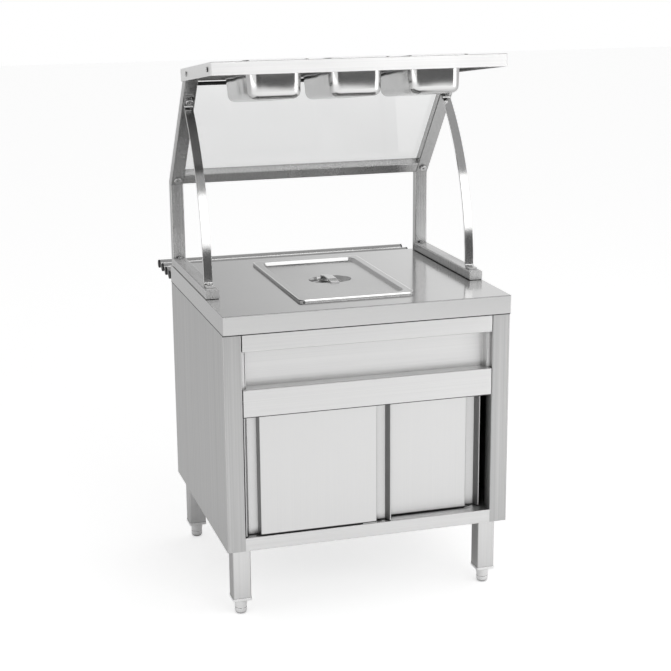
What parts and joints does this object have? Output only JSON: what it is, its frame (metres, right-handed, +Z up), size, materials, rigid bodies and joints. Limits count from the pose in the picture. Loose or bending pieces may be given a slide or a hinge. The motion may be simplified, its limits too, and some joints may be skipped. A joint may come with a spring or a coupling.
{
  "type": "serving counter",
  "caption": "Stainless serving counter: sliding-door cupboard, worktop with a lidded gastronorm well, raked glass screen, tilted pan shelf and a tray slide.",
  "frame": {"origin": "on the floor, under the middle of the whole object's width and depth", "axes": "+X to the right seen from the server's side, +Y towards the customer, +Z up; the doors face -Y"},
  "size_m": [0.806, 0.9186, 1.4901],
  "materials": {
    "worktop_steel": "brushed stainless steel, grain along the width",
    "panel_steel": "brushed stainless steel, grain upright",
    "front_steel": "brushed stainless steel, grain along the width",
    "door_steel": "brushed stainless steel, grain upright",
    "inner_steel": "dull stainless steel",
    "leg_steel": "satin stainless steel tube",
    "foot_steel": "turned stainless steel",
    "frame_steel": "satin stainless steel tube",
    "brace_steel": "polished stainless steel bar",
    "shelf_steel": "brushed stainless steel, grain along the width",
    "pan_steel": "polished stainless steel",
    "lid_steel": "satin stainless steel",
    "tray_steel": "satin stainless steel",
    "fastener_steel": "turned stainless steel",
    "roller_nylon": "white nylon",
    "cap_plastic": "black plastic",
    "seal_rubber": "black silicone",
    "screen_glass": "clear toughened glass"
  },
  "bodies": {
    "cabinet": {"worktop": "worktop_steel", "worktop_stiffeners": "inner_steel", "left_side_panel": "panel_steel", "right_side_panel": "panel_steel", "floor_panel": "panel_steel", "rear_panel": "panel_steel", "divider_panel": "inner_steel", "top_band": "front_steel", "lower_band": "front_steel", "fascia_panel": "front_steel", "door_track": "inner_steel", "door_guide": "roller_nylon", "leg_front_left": "leg_steel", "leg_front_right": "leg_steel", "leg_rear_left": "leg_steel", "leg_rear_right": "leg_steel", "foot_inserts": "foot_steel", "base_gaskets": "seal_rubber", "base_tube_left": "frame_steel", "base_tube_right": "frame_steel", "post_left": "frame_steel", "post_right": "frame_steel", "upright_left": "frame_steel", "upright_right": "frame_steel", "shelf_arm_left": "inner_steel", "shelf_arm_right": "inner_steel", "brace_left": "brace_steel", "brace_right": "brace_steel", "lower_rail": "frame_steel", "glass": "screen_glass", "shelf": "shelf_steel", "tray_slide_tubes": "tray_steel", "tray_slide_caps": "cap_plastic", "tray_bracket_left": "tray_steel", "tray_bracket_right": "tray_steel", "base_bolts": "fastener_steel", "frame_bolts": "fastener_steel", "frame_screws": "fastener_steel", "bracket_bolts": "fastener_steel"},
    "left_door": {"left_door_skin": "door_steel", "left_door_liner": "inner_steel", "left_door_hangers": "inner_steel"},
    "right_door": {"right_door_skin": "door_steel", "right_door_liner": "inner_steel", "right_door_hangers": "inner_steel"},
    "left_door_wheel_left": {"left_door_roller_left": "roller_nylon"},
    "left_door_wheel_right": {"left_door_roller_right": "roller_nylon"},
    "right_door_wheel_left": {"right_door_roller_left": "roller_nylon"},
    "right_door_wheel_right": {"right_door_roller_right": "roller_nylon"},
    "turning_foot_front_left": {"foot_front_left": "foot_steel"},
    "turning_foot_front_right": {"foot_front_right": "foot_steel"},
    "turning_foot_rear_left": {"foot_rear_left": "foot_steel"},
    "turning_foot_rear_right": {"foot_rear_right": "foot_steel"},
    "covered_pan": {"well_pan": "pan_steel"},
    "pan_lid": {"lid": "lid_steel", "lid_handle": "pan_steel"},
    "left_pan": {"shelf_pan_left": "pan_steel"},
    "middle_pan": {"shelf_pan_middle": "pan_steel"},
    "right_pan": {"shelf_pan_right": "pan_steel"}
  },
  "joints": [
    {"name": "left_door_slide", "type": "slide", "parent": "cabinet", "child": "left_door", "axis": [1, 0, 0], "range_m": [0, 0.2875]},
    {"name": "right_door_slide", "type": "slide", "parent": "cabinet", "child": "right_door", "axis": [1, 0, 0], "range_m": [-0.2715, 0.016]},
    {"name": "left_door_wheel_left_spin", "type": "hinge", "parent": "left_door", "child": "left_door_wheel_left", "pos_m": [-0.288, -0.43445, 0.6275], "axis": [0, 1, 0], "continuous": true},
    {"name": "left_door_wheel_right_spin", "type": "hinge", "parent": "left_door", "child": "left_door_wheel_right", "pos_m": [0.0005, -0.43445, 0.6275], "axis": [0, 1, 0], "continuous": true},
    {"name": "right_door_wheel_left_spin", "type": "hinge", "parent": "right_door", "child": "right_door_wheel_left", "pos_m": [-0.0165, -0.40145, 0.6275], "axis": [0, 1, 0], "continuous": true},
    {"name": "right_door_wheel_right_spin", "type": "hinge", "parent": "right_door", "child": "right_door_wheel_right", "pos_m": [0.272, -0.40145, 0.6275], "axis": [0, 1, 0], "continuous": true},
    {"name": "foot_front_left_turn", "type": "hinge", "parent": "cabinet", "child": "turning_foot_front_left", "pos_m": [-0.355, -0.39425, 0], "axis": [0, 0, 1], "range_deg": [0, 3600]},
    {"name": "foot_front_right_turn", "type": "hinge", "parent": "cabinet", "child": "turning_foot_front_right", "pos_m": [0.355, -0.39425, 0], "axis": [0, 0, 1], "range_deg": [0, 3600]},
    {"name": "foot_rear_left_turn", "type": "hinge", "parent": "cabinet", "child": "turning_foot_rear_left", "pos_m": [-0.355, 0.19575, 0], "axis": [0, 0, 1], "range_deg": [0, 3600]},
    {"name": "foot_rear_right_turn", "type": "hinge", "parent": "cabinet", "child": "turning_foot_rear_right", "pos_m": [0.355, 0.19575, 0], "axis": [0, 0, 1], "range_deg": [0, 3600]},
    {"name": "covered_pan_lift", "type": "slide", "parent": "cabinet", "child": "covered_pan", "axis": [0, 0, 1], "range_m": [0, 0.12]},
    {"name": "pan_lid_lift", "type": "slide", "parent": "covered_pan", "child": "pan_lid", "axis": [0, 0, 1], "range_m": [0, 0.15]},
    {"name": "left_pan_lift", "type": "slide", "parent": "cabinet", "child": "left_pan", "axis": [0, 0.1167, 0.9932], "range_m": [0, 0.12]},
    {"name": "middle_pan_lift", "type": "slide", "parent": "cabinet", "child": "middle_pan", "axis": [0, 0.1167, 0.9932], "range_m": [0, 0.12]},
    {"name": "right_pan_lift", "type": "slide", "parent": "cabinet", "child": "right_pan", "axis": [0, 0.1167, 0.9932], "range_m": [0, 0.12]}
  ],
  "couplings": [
    {"joint": "left_door_wheel_left_spin", "follows": "left_door_slide", "rad_per_m": 125},
    {"joint": "left_door_wheel_right_spin", "follows": "left_door_slide", "rad_per_m": 125},
    {"joint": "right_door_wheel_left_spin", "follows": "right_door_slide", "rad_per_m": 125},
    {"joint": "right_door_wheel_right_spin", "follows": "right_door_slide", "rad_per_m": 125}
  ]
}
